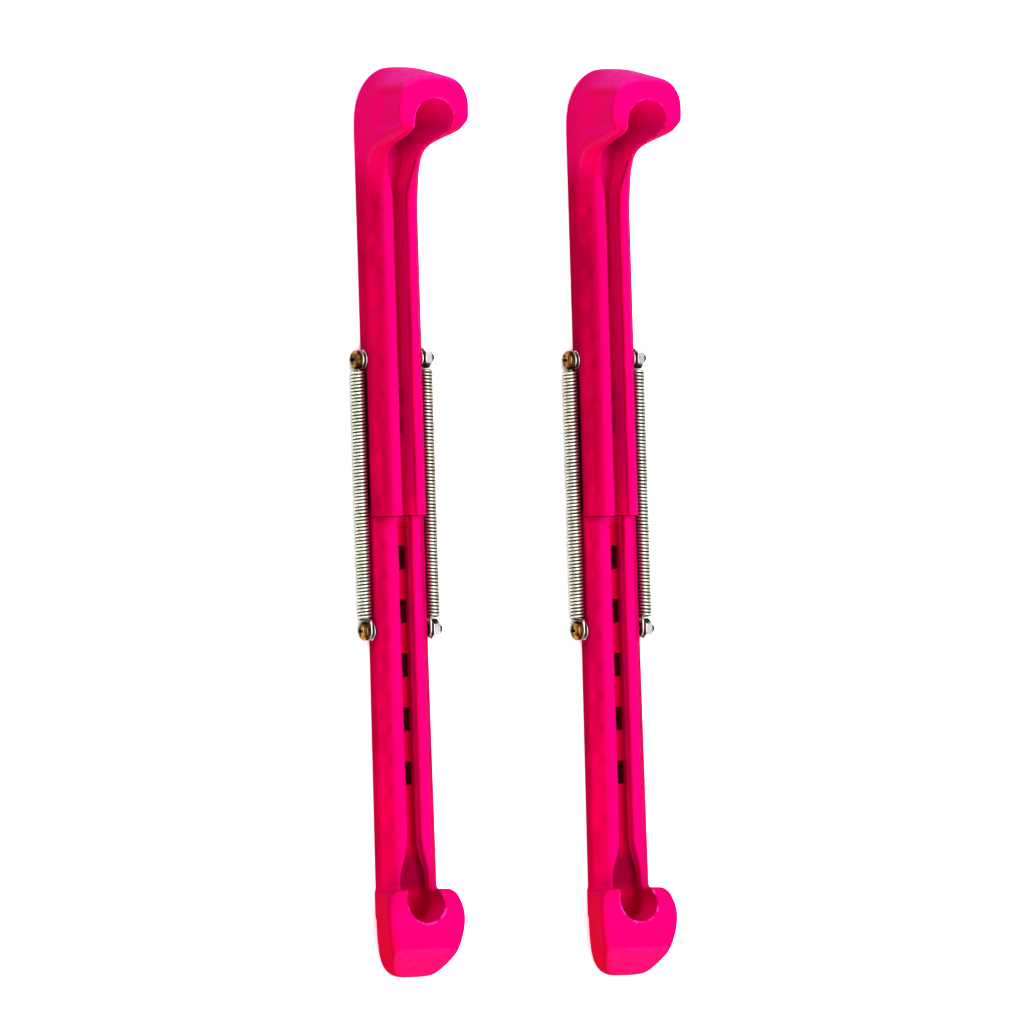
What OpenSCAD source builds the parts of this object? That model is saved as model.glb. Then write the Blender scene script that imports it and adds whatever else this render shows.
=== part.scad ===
// Pair of skate blade guards. Each guard is a toe shell and a heel shell that butt together
// along the blade, held closed by two extension springs hooked on two cross screws.
// Millimetres. +Z is up, +Y points to the toe, and the soles lie on z = 0.

/* [Pair] */
// Distance between the middles of the two guards
guard_spacing = 71.6; // [45:0.2:120]
// How far the right guard lies behind the left one
pair_stagger = 2; // [0:0.5:20]

/* [Guard body] */
// Length of one guard from the heel end to the toe end
guard_l = 280; // [270:1:300]
// Width over the side walls
body_w = 18.2; // [17.4:0.2:20]
// Width over the two lips beside the slot
lip_w = 9.4; // [8.6:0.2:11]
// Width of the blade slot
slot_w = 4.3; // [4.1:0.1:5]
// Height of the slot's floor above the sole
floor_z = 5.2; // [5:0.1:6]
// Place of the butt joint, forward of the middle
junction_y = 1.6; // [-4:0.2:4]
// Gap between the two shells when the guard is closed
junction_gap = 0.3; // [0.2:0.1:0.6]
// Side wall height of the toe shell
toe_wall_h = 6.5; // [6:0.1:8]
// Lip height of the toe shell
toe_rim_h = 14; // [12:0.5:15]
// Side wall height of the heel shell
heel_wall_h = 4.2; // [3.8:0.1:6]
// Lip height of the heel shell
heel_rim_h = 9.8; // [9.5:0.1:12]

/* [Toe cup] */
// Height of the toe cup
toe_cup_h = 42.5; // [38:0.5:48]
// Width over the top of the toe cup
toe_cup_w = 24.4; // [22:0.2:28]
// Radius of the toe recess
toe_recess_r = 6.1; // [5.4:0.1:6.8]
// Distance from the toe end back to the middle of the recess
toe_recess_back = 16.9; // [14:0.1:17]

/* [Heel cup] */
// Height of the heel cup
heel_cup_h = 19; // [18:0.5:24]
// Width over the top of the heel cup
heel_cup_w = 26; // [24:0.2:30]
// Radius of the heel recess
heel_recess_r = 6.5; // [6:0.1:7.2]
// Distance from the heel end forward to the middle of the recess
heel_recess_fore = 23.3; // [22:0.1:25]
// Distance from the heel end forward to the open face of the cup
heel_face_fore = 26.7; // [26:0.1:28]

/* [Screws, nuts and washers] */
// Place of the toe screw along the guard
toe_screw_y = 50.2; // [49:0.2:54]
// Place of the heel screw along the guard
heel_screw_y = -33.4; // [-36:0.2:-33]
// Height of both screws above the sole
screw_z = 3.1; // [3.05:0.05:3.3]
// Thread diameter of the screws
screw_d = 3; // [3:0.1:3.1]
// Length of the screws under the head
screw_l = 25; // [24:1:27]
// Diameter of the pan heads
head_d = 5.8; // [5:0.1:6]
// Height of the pan heads
head_h = 2.4; // [1.8:0.1:2.6]
// Thickness of the nuts
nut_h = 2.4; // [1.8:0.1:2.6]
// Nut width across flats
nut_flats = 5.5; // [5:0.1:5.5]
// Outer diameter of the washers
washer_d = 6; // [5:0.1:6]
// Thickness of the washers
washer_t = 0.5; // [0.4:0.05:0.6]

/* [Springs] */
// Wire diameter
wire_d = 0.9; // [0.7:0.05:0.9]
// Outer diameter of the coils
coil_d = 4.6; // [4.5:0.1:5]
// Distance from one turn to the next
coil_pitch = 1.03; // [0.95:0.01:1.2]

/* [Sole] */
// Distance from one tread groove to the next
tread_pitch = 8.3; // [6:0.1:12]
// Depth of the tread grooves
tread_depth = 0.8; // [0.4:0.1:1]
// Width of the tread grooves
tread_w = 1.6; // [1:0.1:2.4]
// Distance from a tread groove's ends to the side walls
tread_edge = 2; // [1.2:0.1:3]
// Length of the drain windows in the heel shell's floor
heel_window_l = 7; // [4:0.2:7.4]
// Distance from one heel drain window to the next
heel_window_pitch = 16.6; // [16.2:0.1:17]
// Length of the drain windows in the toe shell's floor
toe_window_l = 5.3; // [4:0.1:6]
// Distance from one toe drain window to the next
toe_window_pitch = 9.1; // [8:0.1:9.6]
// Width of every drain window
window_w = 3.4; // [2.4:0.1:3.8]

/* [Hidden] */
$fn = 48;

plastic = [0.93, 0.0, 0.33];
brass = [0.76, 0.60, 0.28];
zinc = [0.86, 0.86, 0.85];
spring_steel = [0.72, 0.72, 0.70];

over = 1;                  // how far a cut runs past the faces it opens
thin = 0.5;                // thickness of the slices that a cup is spanned between
half_w = body_w / 2;
half_slot = slot_w / 2;
half_lip = lip_w / 2;
toe_end = guard_l / 2;
heel_end = -guard_l / 2;

edge_cut = 1;              // chamfer along the sole's edges
lip_cut = 0.8;             // chamfer along the lips
hull_fn = 32;

// Along the screws' axis, measured outwards from the middle of the guard
bore_r = 1.6;
screw_r = screw_d / 2;
hook_slack = 0.2;
head_seat = half_w + washer_t + 2 * hook_slack + wire_d;
nut_seat = half_w + 2 * hook_slack + wire_d;
hook_head_x = -(half_w + washer_t + hook_slack + wire_d / 2);
hook_nut_x = half_w + hook_slack + wire_d / 2;
tip_x = screw_l - head_seat;

// The pair's box is centred on the origin
pair_shift = (head_seat + head_h - tip_x) / 2;
left_place = [pair_shift - guard_spacing / 2, pair_stagger / 2, 0];
right_place = [pair_shift + guard_spacing / 2, -pair_stagger / 2, 0];

// Springs lie against the side walls
coil_r = coil_d / 2;
wire_r = wire_d / 2;
coil_clear = 0.1;
coil_x = half_w + coil_clear + coil_r;
coil_start = heel_screw_y + 3.7;
coil_stop = toe_screw_y - 3.7;
turns = floor((coil_stop - coil_start) / coil_pitch);
groove_in = wire_d * 0.4;
hook_r = screw_r + 0.1 + wire_r;

// Section across a shell's straight part: side walls, sloping shoulders and two lips
module section(wall_h, rim_h) {
    polygon([
        [-half_w + edge_cut, 0],
        [half_w - edge_cut, 0],
        [half_w, edge_cut],
        [half_w, wall_h],
        [half_lip, rim_h - lip_cut],
        [half_lip - lip_cut, rim_h],
        [-half_lip + lip_cut, rim_h],
        [-half_lip, rim_h - lip_cut],
        [-half_w, wall_h],
        [-half_w, edge_cut]
    ]);
}

// A straight run of that section from y0 to y1
module bar(y0, y1, wall_h, rim_h) {
    translate([0, y1, 0]) rotate([90, 0, 0]) linear_extrude(y1 - y0) section(wall_h, rim_h);
}

// A flat slice with two round corners, the corners' middles at y_round
module slice(z, half_width, corner_r, y_round, y_square) {
    translate([0, 0, z]) linear_extrude(thin) {
        for (side = [-1, 1]) {
            translate([side * (half_width - corner_r), y_round]) circle(corner_r, $fn = hull_fn);
        }
        translate([-half_width, min(y_round, y_square)]) square([2 * half_width, abs(y_round - y_square)]);
    }
}

// The toe cup's outer form: it rises steeply from the bar and leans out to its top
module toe_block() {
    y_root = toe_end - 28.5;
    hull() {
        bar(y_root, y_root + thin, toe_wall_h, toe_rim_h);
        slice(0, half_w - edge_cut, 7, toe_end - 18, y_root);
        slice(3, half_w, 8, toe_end - 12.5, y_root);
        slice(9, 9.4, 8.6, toe_end - 9.5, y_root);
        slice(20, 10.4, 9, toe_end - 9, y_root + 4);
        slice(toe_cup_h - thin - 1, toe_cup_w / 2, 8.5, toe_end - 13, toe_end - 15);
        slice(toe_cup_h - thin, toe_cup_w / 2 - 1, 8, toe_end - 13.5, toe_end - 15);
    }
}

// The heel cup's outer form: a flat open face, a top that climbs to the rear and a sloping back
module heel_block() {
    y_face = heel_end + heel_face_fore;
    face_top_z = heel_cup_h - 3.7;
    face_top_w = heel_cup_w - 3;
    hull() {
        bar(y_face - thin, y_face, heel_wall_h, heel_rim_h);
        slice(0, half_w - edge_cut, 7, heel_end + 9.5, y_face - 1);
        slice(3, half_w, 8, heel_end + 8, y_face - 1);
        slice(6, 9.4, 8.6, heel_end + 8.6, y_face - 1);
        translate([-face_top_w / 2, y_face - thin, face_top_z - thin]) cube([face_top_w, thin, thin]);
        slice(heel_cup_h - thin - 1, heel_cup_w / 2, 8.5, heel_end + 16, heel_end + 19);
        slice(heel_cup_h - thin, heel_cup_w / 2 - 1, 8, heel_end + 16.5, heel_end + 18);
    }
}

// Slot that widens from y_narrow to y_wide and runs on into a cup's recess
module blade_path(y_start, y_narrow, y_wide, half_wide, y_recess, half_throat) {
    translate([0, 0, floor_z]) linear_extrude(toe_cup_h) polygon([
        [-half_slot, y_start],
        [half_slot, y_start],
        [half_slot, y_narrow],
        [half_wide, y_wide],
        [half_throat, y_recess],
        [-half_throat, y_recess],
        [-half_wide, y_wide],
        [-half_slot, y_narrow]
    ]);
}

// Round hollow of a cup, open at the top
module recess(y, r) {
    translate([0, y, floor_z]) cylinder(h = toe_cup_h, r = r, $fn = 64);
}

// Hole through both side walls for a cross screw
module screw_bore(y) {
    translate([-half_w - over, y, screw_z]) rotate([0, 90, 0]) cylinder(h = body_w + 2 * over, r = bore_r);
}

// Drain windows through the slot's floor
module windows(y_first, pitch, count, length) {
    for (i = [0 : count - 1]) {
        translate([-window_w / 2, y_first + i * pitch - length / 2, -over]) {
            cube([window_w, length, floor_z + 2 * over]);
        }
    }
}

// Tread grooves across the sole, closed at both ends
module tread(y_first, pitch, count) {
    for (i = [0 : count - 1]) {
        translate([-half_w + tread_edge, y_first + i * pitch - tread_w / 2, -over]) {
            cube([body_w - 2 * tread_edge, tread_w, over + tread_depth]);
        }
    }
}

module toe_shell() {
    color(plastic) difference() {
        union() {
            bar(junction_y + junction_gap, toe_end - 28, toe_wall_h, toe_rim_h);
            toe_block();
        }
        blade_path(
            y_start = junction_y - over,
            y_narrow = toe_end - 39,
            y_wide = toe_end - 28,
            half_wide = 4.6,
            y_recess = toe_end - toe_recess_back,
            half_throat = 5.3
        );
        recess(toe_end - toe_recess_back, toe_recess_r);
        screw_bore(toe_screw_y);
        windows(29.6, toe_window_pitch, 2, toe_window_l);
        tread(junction_y + 7, tread_pitch, 14);
    }
}

module heel_shell() {
    color(plastic) difference() {
        union() {
            bar(heel_end + heel_face_fore - 2, junction_y, heel_wall_h, heel_rim_h);
            heel_block();
        }
        blade_path(
            y_start = junction_y + over,
            y_narrow = heel_end + 40.3,
            y_wide = heel_end + 33,
            half_wide = 4.7,
            y_recess = heel_end + heel_recess_fore,
            half_throat = 4.7
        );
        recess(heel_end + heel_recess_fore, heel_recess_r);
        screw_bore(heel_screw_y);
        windows(-11, -heel_window_pitch, 5, heel_window_l);
        tread(junction_y - 7, -tread_pitch, 15);
    }
}

// Pan head screw along X, head on the -X side, with a cross recess
module screw(y) {
    crown_r = head_h * 0.75;
    cross_l = head_d * 0.62;
    cross_w = 0.8;
    cross_depth = 1.2;
    point_l = 0.5;
    color(brass) translate([-head_seat, y, screw_z]) rotate([0, 90, 0]) difference() {
        union() {
            rotate_extrude() intersection() {
                translate([0, -head_h]) square([head_d / 2, head_h]);
                union() {
                    translate([0, -head_h]) square([head_d / 2 - crown_r, head_h]);
                    translate([0, -head_h + crown_r]) square([head_d / 2, head_h]);
                    translate([head_d / 2 - crown_r, -head_h + crown_r]) circle(crown_r);
                }
            }
            cylinder(h = screw_l - point_l, r = screw_r);
            translate([0, 0, screw_l - point_l]) cylinder(h = point_l, r1 = screw_r, r2 = screw_r - point_l);
        }
        for (turn = [0, 90]) {
            rotate([0, 0, turn]) translate([-cross_l / 2, -cross_w / 2, -head_h - over]) {
                cube([cross_l, cross_w, over + cross_depth]);
            }
        }
    }
}

// Hexagon nut along X with both faces chamfered, corners fore and aft
module nut(y) {
    corner_r = nut_flats / sqrt(3);
    face_r = nut_flats / 2;
    rim_cut = 0.35;
    color(zinc) translate([nut_seat, y, screw_z]) rotate([0, 90, 0]) difference() {
        intersection() {
            rotate([0, 0, 90]) cylinder(h = nut_h, r = corner_r, $fn = 6);
            union() {
                cylinder(h = rim_cut, r1 = face_r, r2 = corner_r);
                translate([0, 0, rim_cut]) cylinder(h = nut_h - 2 * rim_cut, r = corner_r);
                translate([0, 0, nut_h - rim_cut]) cylinder(h = rim_cut, r1 = corner_r, r2 = face_r);
            }
        }
        translate([0, 0, -over]) cylinder(h = nut_h + 2 * over, r = screw_r + 0.03);
    }
}

// Flat washer between the side wall and the spring's hook, on the head side
module washer(y) {
    color(zinc) translate([-half_w - washer_t, y, screw_z]) rotate([0, 90, 0]) difference() {
        cylinder(h = washer_t, r = washer_d / 2);
        translate([0, 0, -over]) cylinder(h = washer_t + 2 * over, r = bore_r);
    }
}

// Closely wound coils: a tube whose outside is grooved once for each turn
module coils() {
    span = coil_stop - coil_start;
    rise = span / turns;
    inner_r = coil_r - wire_d;
    crests = [for (i = [0 : turns - 1]) each [
        [coil_r - groove_in, i * rise],
        [coil_r, (i + 0.3) * rise],
        [coil_r, (i + 0.7) * rise]
    ]];
    rotate_extrude() polygon(concat(
        [[inner_r, 0]],
        crests,
        [[coil_r - groove_in, span], [inner_r, span]]
    ));
}

// Hook round a screw at y, and its straight tail of wire into the coils
module hook(x, y, towards) {
    tail_l = abs(towards) + wire_r;
    translate([x, y, screw_z]) rotate([0, 90, 0]) rotate_extrude() translate([hook_r, 0]) circle(wire_r);
    translate([x, y + sign(towards) * hook_r, screw_z]) {
        rotate([towards > 0 ? -90 : 90, 0, 0]) cylinder(h = tail_l - hook_r, r = wire_r);
    }
}

// Extension spring on one side: side is -1 for the heads and 1 for the nuts
module spring(side) {
    hook_x = side < 0 ? hook_head_x : hook_nut_x;
    color(spring_steel) {
        translate([side * coil_x, coil_start, screw_z]) rotate([-90, 0, 0]) coils();
        hook(hook_x, heel_screw_y, coil_start - heel_screw_y);
        hook(hook_x, toe_screw_y, coil_stop - toe_screw_y);
    }
}

translate(left_place) toe_shell();  // left_toe_shell
translate(left_place) heel_shell();  // left_heel_shell
translate(left_place) screw(toe_screw_y);  // left_toe_screw
translate(left_place) screw(heel_screw_y);  // left_heel_screw
translate(left_place) nut(toe_screw_y);  // left_toe_nut
translate(left_place) nut(heel_screw_y);  // left_heel_nut
translate(left_place) washer(toe_screw_y);  // left_toe_washer
translate(left_place) washer(heel_screw_y);  // left_heel_washer
translate(left_place) spring(-1);  // left_spring_head_side
translate(left_place) spring(1);  // left_spring_nut_side
translate(right_place) toe_shell();  // right_toe_shell
translate(right_place) heel_shell();  // right_heel_shell
translate(right_place) screw(toe_screw_y);  // right_toe_screw
translate(right_place) screw(heel_screw_y);  // right_heel_screw
translate(right_place) nut(toe_screw_y);  // right_toe_nut
translate(right_place) nut(heel_screw_y);  // right_heel_nut
translate(right_place) washer(toe_screw_y);  // right_toe_washer
translate(right_place) washer(heel_screw_y);  // right_heel_washer
translate(right_place) spring(-1);  // right_spring_head_side
translate(right_place) spring(1);  // right_spring_nut_side
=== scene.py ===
"""Looks of a pair of skate blade guards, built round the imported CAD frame.

Each shell, screw, nut and washer is a smooth closed mesh of a signed field, and each spring is
a swept wire. Shapes are worked out in millimetres in one guard's own frame (x across, y to the
toe, z up from the sole) and placed twice, once for each guard. In the fields, aside is the
distance from a guard's middle plane.
"""
import math

import bpy
import numpy as np
from mathutils import Matrix, Vector


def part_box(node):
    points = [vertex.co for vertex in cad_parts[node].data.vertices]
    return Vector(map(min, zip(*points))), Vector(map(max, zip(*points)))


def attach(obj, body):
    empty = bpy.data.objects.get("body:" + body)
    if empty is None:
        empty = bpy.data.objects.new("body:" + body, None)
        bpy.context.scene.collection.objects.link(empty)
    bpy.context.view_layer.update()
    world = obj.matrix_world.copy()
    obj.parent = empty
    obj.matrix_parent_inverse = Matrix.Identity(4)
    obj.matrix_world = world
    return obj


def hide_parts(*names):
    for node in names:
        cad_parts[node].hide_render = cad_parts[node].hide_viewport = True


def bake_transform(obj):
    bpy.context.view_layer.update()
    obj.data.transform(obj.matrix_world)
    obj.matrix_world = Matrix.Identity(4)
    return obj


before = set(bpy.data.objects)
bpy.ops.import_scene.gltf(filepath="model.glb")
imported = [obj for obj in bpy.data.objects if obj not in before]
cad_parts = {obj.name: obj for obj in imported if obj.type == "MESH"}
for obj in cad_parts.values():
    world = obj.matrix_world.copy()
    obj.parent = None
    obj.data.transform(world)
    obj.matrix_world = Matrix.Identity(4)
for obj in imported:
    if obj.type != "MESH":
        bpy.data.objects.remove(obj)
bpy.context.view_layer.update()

MM = 0.001
SIDES = ("left", "right")


# ---------------------------------------------------------------- sizes, in mm

def guard_place(side):
    """Middle of a guard on the floor, in mm."""
    heel = np.array(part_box(side + "_heel_shell")) / MM
    toe = np.array(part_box(side + "_toe_shell")) / MM
    return np.array(((heel[0, 0] + heel[1, 0]) / 2, (heel[0, 1] + toe[1, 1]) / 2, 0.0))


PLACE = {side: guard_place(side) for side in SIDES}


def node_box(name):
    """Lowest and highest corner of a CAD node of the left guard, in its own frame, in mm."""
    low, high = np.array(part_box("left_" + name)) / MM - PLACE["left"]
    return low, high


toe_low, toe_high = node_box("toe_shell")
heel_low, heel_high = node_box("heel_shell")

TOE_END = toe_high[1]
HEEL_END = heel_low[1]
TOE_FACE = toe_low[1]
HEEL_FACE = heel_high[1]
TOE_TOP = toe_high[2]
HEEL_TOP = heel_high[2]
TOE_HALF = toe_high[0]
HEEL_HALF = heel_high[0]

HALF_W = 9.1          # half the width over the side walls
HALF_SLOT = 2.15      # half the width of the blade slot
HALF_LIP = 4.7        # half the width over the lips
FLOOR_Z = 5.2         # height of the slot's floor
SLOT_FLARE = 0.012    # lean of the slot's walls, outwards for each mm of height
BORE_R = 1.6          # radius of the cross screws' bores
JOINT_REACH = 0.13    # how far the meeting faces stand ahead of the CAD's
JOINT_ROUND = 0.12    # rounding of the meeting faces' edges
SINK_PITCH = 9.5      # from one moulding dimple to the next
SINK_DEPTH = 0.40     # depth of a dimple

TREAD_EDGE = 2.0      # from a tread groove's ends to the side walls
GROOVE_HALF = 0.8     # half the width of a tread groove
GROOVE_DEPTH = 0.8
GROOVE_PITCH = 8.3    # from one groove to the next
GROOVE_START = 7.0    # from the joint to the first groove
GROOVES = {           # first groove, pitch, count
    "toe": (HEEL_FACE + GROOVE_START, GROOVE_PITCH, 14),
    "heel": (HEEL_FACE - GROOVE_START, -GROOVE_PITCH, 15),
}
WINDOW_HALF = 1.7     # half the width of a drain window
WINDOWS = {           # middles, length
    "toe": ((29.6, 38.7), 5.3),
    "heel": ((-11.0, -27.6, -44.2, -60.8, -77.4), 7.0),
}

SCREW_Y = {}
for end in ("toe", "heel"):
    nut_low, nut_high = node_box(end + "_nut")
    SCREW_Y[end] = (nut_low[1] + nut_high[1]) / 2
SCREW_Z = (nut_low[2] + nut_high[2]) / 2
NUT_IN, NUT_OUT = nut_low[0], nut_high[0]
HEAD_OUT, TIP = node_box("toe_screw")[0][0], node_box("toe_screw")[1][0]
WASHER_OUT = node_box("toe_washer")[0][0]


# ---------------------------------------------------------------- fields

def ramp(value, start, stop):
    """0 before start, 1 after stop, smooth between them."""
    t = np.clip((value - start) / (stop - start), 0.0, 1.0)
    return t * t * (3.0 - 2.0 * t)


def smooth_max(a, b, k):
    """Intersection of two fields whose shared edge is rounded over about k mm."""
    h = np.clip(0.5 + 0.5 * (a - b) / k, 0.0, 1.0)
    return b + (a - b) * h + k * h * (1.0 - h)


def smooth_min(a, b, k):
    """Union of two fields with a fillet of about k mm."""
    return -smooth_max(-a, -b, k)


def soft_curve(value, points, blur):
    """A line through points (place, height), its corners rounded over blur mm."""
    places, heights = zip(*points)
    steps = np.linspace(-blur, blur, 7)
    return sum(np.interp(value + step, places, heights) for step in steps) / len(steps)


def slope(value, points, blur):
    """Rise of soft_curve for each mm along it."""
    reach = 0.25
    after = soft_curve(value + reach, points, blur)
    before = soft_curve(value - reach, points, blur)
    return (after - before) / (2 * reach)


def roof(aside, z, lip_x, rim_z, wall_x, wall_z):
    """Top of a shell's wall: a flat lip as far as lip_x, then a shoulder down to the side wall."""
    drop = rim_z - wall_z
    reach = wall_x - lip_x
    shoulder = ((aside - wall_x) * drop + (z - wall_z) * reach) / np.sqrt(drop ** 2 + reach ** 2)
    return smooth_max(z - rim_z, shoulder, 1.7)


def rounded_plan(aside, ahead, half, reach, power):
    """Upright wall that runs straight and then closes in a rounded end, reach mm ahead."""
    round_off = (aside / half) ** power + (np.maximum(ahead, 0.0) / reach) ** power
    return (round_off ** (1.0 / power) - 1.0) * half


def rocker(ahead, z, run, rise):
    """Underside that is flat and then curls up over run mm to rise mm."""
    forward = np.maximum(ahead, 0.0) / run
    down = np.maximum(rise - z, 0.0) / rise
    return (np.sqrt(forward ** 2 + down ** 2) - 1.0) * rise


def cavity(aside, y, z, gap, centre_y, radius, into_cup):
    """Blade slot of half width gap that runs into a round recess; into_cup is +1 or -1 along y."""
    passage = smooth_max(aside - gap - SLOT_FLARE * (z - FLOOR_Z), (y - centre_y) * into_cup, 0.5)
    hollow = np.sqrt(aside ** 2 + (y - centre_y) ** 2) - radius
    return smooth_max(smooth_min(passage, hollow, 0.6), FLOOR_Z - z, 0.7)


def cut_sole(field, aside, y, z, groove_first, groove_pitch, groove_count, windows, window_l):
    """Takes the tread grooves and the drain windows out of a shell."""
    last = groove_first + groove_pitch * (groove_count - 1)
    along = np.clip((y - groove_first) / (last - groove_first), 0.0, 1.0) * (groove_count - 1)
    off_groove = y - groove_first - np.round(along) * groove_pitch
    groove = smooth_max(np.abs(off_groove) - GROOVE_HALF, z - GROOVE_DEPTH, 0.3)
    groove = smooth_max(groove, aside - HALF_W + TREAD_EDGE, 0.4)
    field = smooth_max(field, -groove, 0.35)
    for centre in windows:
        window = smooth_max(aside - WINDOW_HALF, np.abs(y - centre) - window_l / 2, 0.4)
        window = smooth_max(window, z - FLOOR_Z - 2.0, 0.4)
        field = smooth_max(field, -window, 0.35)
    return field


def cut_bore(field, y, z, screw_y):
    """Takes a cross screw's bore out of a shell."""
    return smooth_max(field, BORE_R - np.sqrt((y - screw_y) ** 2 + (z - SCREW_Z) ** 2), 0.3)


def sink_marks(aside, y, z, height, first, last):
    """Shallow moulding dimples in a row along the shoulders, SINK_PITCH apart."""
    nearest = first + np.round((np.clip(y, first, last) - first) / SINK_PITCH) * SINK_PITCH
    apart = ((y - nearest) / 1.5) ** 2 + ((z - height) / 1.2) ** 2
    return SINK_DEPTH * np.exp(-apart) * (aside > HALF_LIP)


# Along the toe shell: height of its rim, height where its shoulder meets the side wall, half the
# width over its lips, half the width over its shoulders, and half the width of its slot.
TOE_RIM = ((96, 14.0), (104, 14.3), (108, 15.2), (112, 17.0), (114.7, 20.5), (116.4, 26.0),
           (118.0, 34.0), (119.7, 39.8), (121.6, 42.2), (124, 42.5), (137, 42.5))
TOE_WALL = ((97, 6.5), (107, 8.3), (112, 10.5), (114.7, 13.5), (116.4, 19.0), (118.0, 30.0),
            (119.7, 38.5), (121.6, 41.9), (124, 42.5), (137, 42.5))
TOE_LIP_X = ((97, 4.7), (106, 5.0), (112, 5.6), (117, 6.4), (124, 7.4))
TOE_WALL_X = ((108, 8.9), (114, 9.1), (117, 10.0), (119.5, 11.2), (123, 12.0))
TOE_GAP = ((98.5, HALF_SLOT), (103, 2.6), (108, 4.1), (112, 4.8), (118, 5.3), (125, 5.4))
RIM_BLUR = 1.2        # rounding of the rim's and the shoulder's bends
GAP_BLUR = 1.5        # rounding of the slot's bends
TOE_RECESS_Y = TOE_END - 17.1
TOE_RECESS_R = 6.3
TOE_FOOT_Z = 9.0      # height where the toe cup starts to widen
TOE_FRONT_L = 22.0    # length of the toe's rounded front at its foot
TOE_FRONT_LOSS = 8.0  # how much shorter the rounded front is at the rim
TOE_SWELL = 0.6       # how far the front would pass TOE_END if the underside didn't curl up
TOE_LEAN = 4.6        # how far the front leans back from foot to rim
TOE_CURL = 16.0       # length of the underside's upward curl
TOE_CURL_RISE = 12.0  # height of the curl
SCOOP_DEPTH = 1.8     # depth of the finger scoop in the cup's sides


def toe_rim(y):
    """Height of the toe shell's rim."""
    return soft_curve(y, TOE_RIM, RIM_BLUR)


def toe_wall(y):
    """Height where the toe shell's shoulder meets its side wall."""
    return soft_curve(y, TOE_WALL, RIM_BLUR)


def toe_hole(aside, y, z):
    """Slot, throat and recess of the toe shell."""
    return cavity(aside, y, z, soft_curve(y, TOE_GAP, GAP_BLUR), TOE_RECESS_Y, TOE_RECESS_R, 1.0)


def toe_field(x, y, z):
    """The toe shell: a slotted bar that climbs into a tall round-fronted cup."""
    aside = np.abs(x)
    steep = np.sqrt(1.0 + slope(y, TOE_RIM, RIM_BLUR) ** 2)
    lip_x = soft_curve(y, TOE_LIP_X, 2.0)
    wall_x = soft_curve(y, TOE_WALL_X, 1.5)
    top = roof(aside, z, lip_x, toe_rim(y), wall_x, toe_wall(y)) / steep
    up = np.clip((z - TOE_FOOT_Z) / (TOE_TOP - TOE_FOOT_Z), 0.0, 1.0)
    half = HALF_W + (TOE_HALF - HALF_W) * up
    plan_y = TOE_END - TOE_FRONT_L + TOE_FRONT_LOSS * up
    front_y = TOE_END + TOE_SWELL - TOE_LEAN * up ** 1.4
    side = rounded_plan(aside, y - plan_y, half, front_y - plan_y, 2.5 + 0.2 * up)
    scoop_along = ramp(y, 119.0, 122.5) * ramp(-y, -134.5, -130.5)
    side = side + SCOOP_DEPTH * (scoop_along * ramp(z, 12.0, 24.0) * ramp(-z, -41.8, -38.8))
    body = smooth_max(top, side, 0.8 + 1.6 * ramp(y, 113.0, 120.0))
    body = smooth_max(body, rocker(y - (TOE_END - TOE_CURL), z, TOE_CURL, TOE_CURL_RISE), 1.0)
    body = smooth_max(body, TOE_FACE - JOINT_REACH - y, JOINT_ROUND)
    body = smooth_max(body, -toe_hole(aside, y, z), 0.7)
    body = body + sink_marks(aside, y, z, 9.5, HEEL_FACE + 9.0, 100.0)
    body = cut_sole(body, aside, y, z, *GROOVES["toe"], *WINDOWS["toe"])
    return cut_bore(body, y, z, SCREW_Y["toe"])


HEEL_RIM_Z = 9.8      # height of the heel bar's rim
HEEL_WALL_Z = 4.2     # height where its shoulder meets the side wall
HEEL_CUP_FACE = HEEL_END + 26.7
HEEL_CUP_TOP = ((-136, 15.6), (-131, 17.7), (-125.5, 18.9), (-121, 19.0), (-117, 17.8), (-113.3, 15.6))
HEEL_GAP = ((-113, 4.75), (-109, 4.6), (-106, 3.9), (-102, 2.7), (-98.5, HALF_SLOT))
HEEL_RECESS_Y = HEEL_END + 22.6
HEEL_RECESS_R = 6.1
HEEL_ROUND_L = 22.0   # length of the cup's rounded rear at its foot
BACK_RUN = 7.8        # where the slanted back meets BACK_Z, from the heel's end
BACK_Z = 17.3
BACK_LEAN = math.atan2(7.3, 9.3)


def heel_cup_top(y):
    """Height of the heel cup's top, before the slanted back cuts it."""
    return soft_curve(y, HEEL_CUP_TOP, 2.0)


def heel_rim(y):
    """Height of the heel shell's rim."""
    return np.where(y < HEEL_CUP_FACE, heel_cup_top(y), HEEL_RIM_Z)


def heel_hole(aside, y, z):
    """Slot, throat and recess of the heel shell."""
    return cavity(aside, y, z, soft_curve(y, HEEL_GAP, GAP_BLUR), HEEL_RECESS_Y, HEEL_RECESS_R, -1.0)


def heel_back(y, z):
    """Slanted plane that cuts off the top rear corner of the heel cup."""
    return -math.cos(BACK_LEAN) * (y - HEEL_END - BACK_RUN) + math.sin(BACK_LEAN) * (z - BACK_Z)


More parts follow.
